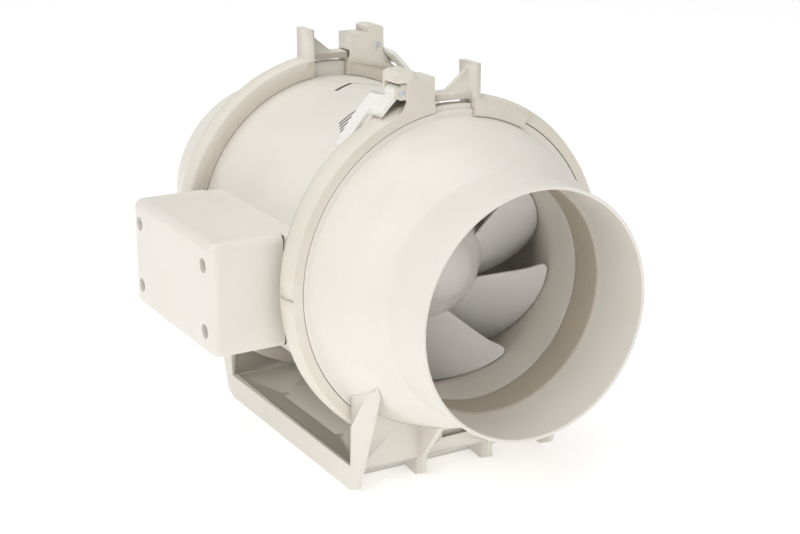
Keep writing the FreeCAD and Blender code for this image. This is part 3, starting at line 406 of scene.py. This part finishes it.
hub = turned([
    (-73.0, 22.0, 0.1), (-66.0, 31.0, 6.0), (-49.0, 43.0, 0.8), (-49.0, 40.6, 0.4),
    (-65.0, 28.6, 4.0), (-70.0, 19.6, 0.5), (-70.0, 7.0, 0.3), (-55.0, 7.0, 0.5),
    (-55.0, 3.0, 0), (-73.0, 3.0, 0),
])
blade = bmesh.new()
bmesh.ops.create_grid(blade, x_segments=CHORD_STEPS, y_segments=SPAN_STEPS, size=0.5)
for spot in blade.verts:
    spot.co = blade_point(spot.co.x + 0.5, spot.co.y + 0.5) + Vector((0, 0, AXIS))
bmesh.ops.recalc_face_normals(blade, faces=blade.faces)
bmesh.ops.solidify(blade, geom=blade.faces[:], thickness=BLADE_THICKNESS)
rim = [e for e in blade.edges if e.calc_face_angle(0) > math.radians(50)]
bmesh.ops.bevel(blade, geom=rim, offset=BLADE_RIM_ROUNDING, segments=4, profile=0.5, affect="EDGES",
                clamp_overlap=True, material=-1)
bmesh.ops.spin(blade, geom=blade.verts[:] + blade.edges[:] + blade.faces[:],
               cent=(0, 0, AXIS), axis=(0, 1, 0), angle=math.tau * (BLADES - 1) / BLADES,
               steps=BLADES - 1, use_duplicate=True)
blade_mesh = bpy.data.meshes.new("blades")
blade.to_mesh(blade_mesh)
blade.free()
hub.from_mesh(blade_mesh)
bpy.data.meshes.remove(blade_mesh)
object_from(hub, "impeller_moulding", blade_white, "impeller", "impeller_set")
nose = turned([
    (-82.5, 0, 0), (-82.5, 14.0, 10.0), (-73.0, 22.0, 0.1), (-73.0, 20.0, 0.1),
    (-79.9, 12.5, 6.0), (-79.9, 0, 0),
])
object_from(nose, "nose_cap_moulding", blade_white, "nose_cap", "impeller_set")
moulded("impeller_shroud", ivory, 0.3)

# --------------------------------------------------------------------- motor
# The motor sits in the drum behind the impeller: laminated steel stack, enamelled windings,
# pressed covers, ball bearings, a ground shaft and long through-bolts.
steel = metal("ground_steel", (0.62, 0.62, 0.61, 1), (0.42, 0.42, 0.41, 1), 0.24, 0.2)


def laminated(place):
    """Stack of thin steel sheets seen as fine lines across the duct axis."""
    split = place.add("SeparateXYZ", inputs={"Vector": place}, output=1)
    sheets = (split / (0.5 * MM)).maths("FRACT", split / (0.5 * MM))
    line = sheets.step(0.0, 0.25) * (1 - sheets.step(0.75, 1.0))
    oxide = noise(place, 5 * MM, 4.0)
    bump = place.add("Bump", inputs={"Strength": 0.6, "Distance": 0.08 * MM, "Height": line})
    return {"Base Color": (line * oxide.step(0.2, 0.8)).mix((0.10, 0.10, 0.11, 1),
                                                            (0.40, 0.40, 0.41, 1)),
            "Roughness": 0.45 + (oxide - 0.5) * 0.3, "Normal": bump}


def enamelled(place):
    """Copper wire under varnish, wound round the stack in close turns."""
    split = place.add("SeparateXYZ", inputs={"Vector": place}, output=1)
    turns = (split / (0.9 * MM)).maths("SINE", split / (0.9 * MM) * math.tau)
    patch = noise(place, 4 * MM, 3.0)
    bump = place.add("Bump", inputs={"Strength": 0.8, "Distance": 0.2 * MM, "Height": turns})
    return {"Base Color": patch.step(0.3, 0.7).mix((0.42, 0.13, 0.04, 1), (0.66, 0.26, 0.09, 1)),
            "Roughness": 0.3 + patch * 0.15, "Normal": bump}


laminations = finish_of("laminated_steel", {"Metallic": 1.0}, laminated)
copper = finish_of("enamelled_copper", {"Metallic": 0.85, "Coat Weight": 0.5}, enamelled)
cover_zinc = metal("pressed_cover", (0.66, 0.67, 0.67, 1), (0.52, 0.53, 0.53, 1), 0.38, 0.05)
CARRIED = {
    "impeller_nut": zinc, "motor_shaft": steel, "rotor_core": laminations,
    "stator_core": laminations, "stator_windings": copper, "motor_front_cover": cover_zinc,
    "motor_rear_cover": cover_zinc, "front_bearing": steel, "rear_bearing": steel,
    "motor_screws": zinc, "motor_mount_screws": zinc,
}

# -------------------------------------------------------------- guide vanes
# The diffuser drum holds the motor on its nose plate and carries nine fixed vanes that
# straighten the air; a fairing closes its tail. Both are the ivory of the barrel.
moulded("guide_vane_diffuser", ivory, 0.35)
moulded("outlet_fairing", ivory, 0.4)

# ---------------------------------------------------------- electrical parts
# Inside the box a grey terminal block with brass screws, and a run capacitor in its clip.
terminal_grey = plastic("terminal_polyamide", (0.55, 0.55, 0.54, 1), (0.50, 0.50, 0.49, 1), 0.45,
                        0.2)
brass = metal("screw_brass", (0.80, 0.60, 0.28, 1), (0.58, 0.40, 0.16, 1), 0.30, 0.1)
capacitor_case = plastic("capacitor_case", (0.74, 0.75, 0.76, 1), (0.66, 0.67, 0.68, 1), 0.3,
                         0.05)
lead_sheath = plastic("lead_sheath", (0.30, 0.30, 0.31, 1), (0.24, 0.24, 0.25, 1), 0.5, 0.3)
CARRIED.update({
    "terminal_block": terminal_grey, "terminal_block_screws": brass,
    "motor_capacitor": capacitor_case, "capacitor_clip": ivory, "motor_lead": lead_sheath,
})
for node, material in CARRIED.items():
    for place in nodes[node].material_slots:
        place.material = material
    if not nodes[node].material_slots:
        nodes[node].data.materials.append(material)

# ---------------------------------------------------------------------- foot
# The foot is a ribbed moulding: four upright ribs at each end run up to the cones, end walls
# close the front and back, and its floor has four screw holes for the wall or joists.
moulded("mounting_base", ivory, 0)

# ------------------------------------------------------------ studio and view
# A pale sweep under soft boxes, seen from a little above on the inlet side.
maker = bmesh.new()
bmesh.ops.create_grid(maker, x_segments=1, y_segments=1, size=6.0)
floor_mesh = bpy.data.meshes.new("studio_floor")
maker.to_mesh(floor_mesh)
maker.free()
floor = bpy.data.objects.new("studio_floor", floor_mesh)
bpy.context.scene.collection.objects.link(floor)


def paper(place):
    tooth = noise(place, 4 * MM, 3.0)
    return {"Base Color": tooth.step(0.2, 0.8).mix((0.93, 0.93, 0.93, 1), (0.95, 0.95, 0.95, 1))}


floor_mesh.materials.append(finish_of("paper_sweep", {"Roughness": 0.9, "Emission Color": (1, 1, 1, 1),
                                                   "Emission Strength": 0.35}, paper))

world = bpy.data.worlds.new("studio_air")
world.use_nodes = True
world.node_tree.nodes["Background"].inputs["Color"].default_value = (1.0, 1.0, 1.0, 1)
world.node_tree.nodes["Background"].inputs["Strength"].default_value = 0.56
bpy.context.scene.world = world
TARGET = Vector((0.0, -0.02, 0.12))
LAMPS = (("key_box", (-1.7, -1.0, 1.6), 1.3, 15.0), ("front_box", (0.1, -2.4, 0.9), 1.0, 3.0),
         ("top_box", (-0.2, 0.1, 2.2), 1.6, 13.0))
for name, spot, width, power in LAMPS:
    lamp = bpy.data.lights.new(name, "AREA")
    lamp.size = width
    lamp.energy = power
    holder = bpy.data.objects.new(name, lamp)
    holder.location = spot
    holder.rotation_euler = (TARGET - Vector(spot)).to_track_quat("-Z", "Y").to_euler()
    bpy.context.scene.collection.objects.link(holder)

view = bpy.data.cameras.new("catalogue_view")
view.lens = 72.7
view.sensor_width = 36.0
view.shift_x = -0.0288
view.shift_y = -0.0603
camera = bpy.data.objects.new("catalogue_view", view)
camera.location = (-0.480, -0.862, 0.418)
aim = Vector((0.009, -0.034, 0.144)) - camera.location
roll = Matrix.Rotation(math.radians(0.24), 4, "Z")
camera.rotation_euler = (aim.to_track_quat("-Z", "Y").to_matrix().to_4x4() @ roll).to_euler()
bpy.context.scene.collection.objects.link(camera)
bpy.context.scene.camera = camera
bpy.context.scene.view_settings.view_transform = "Standard"
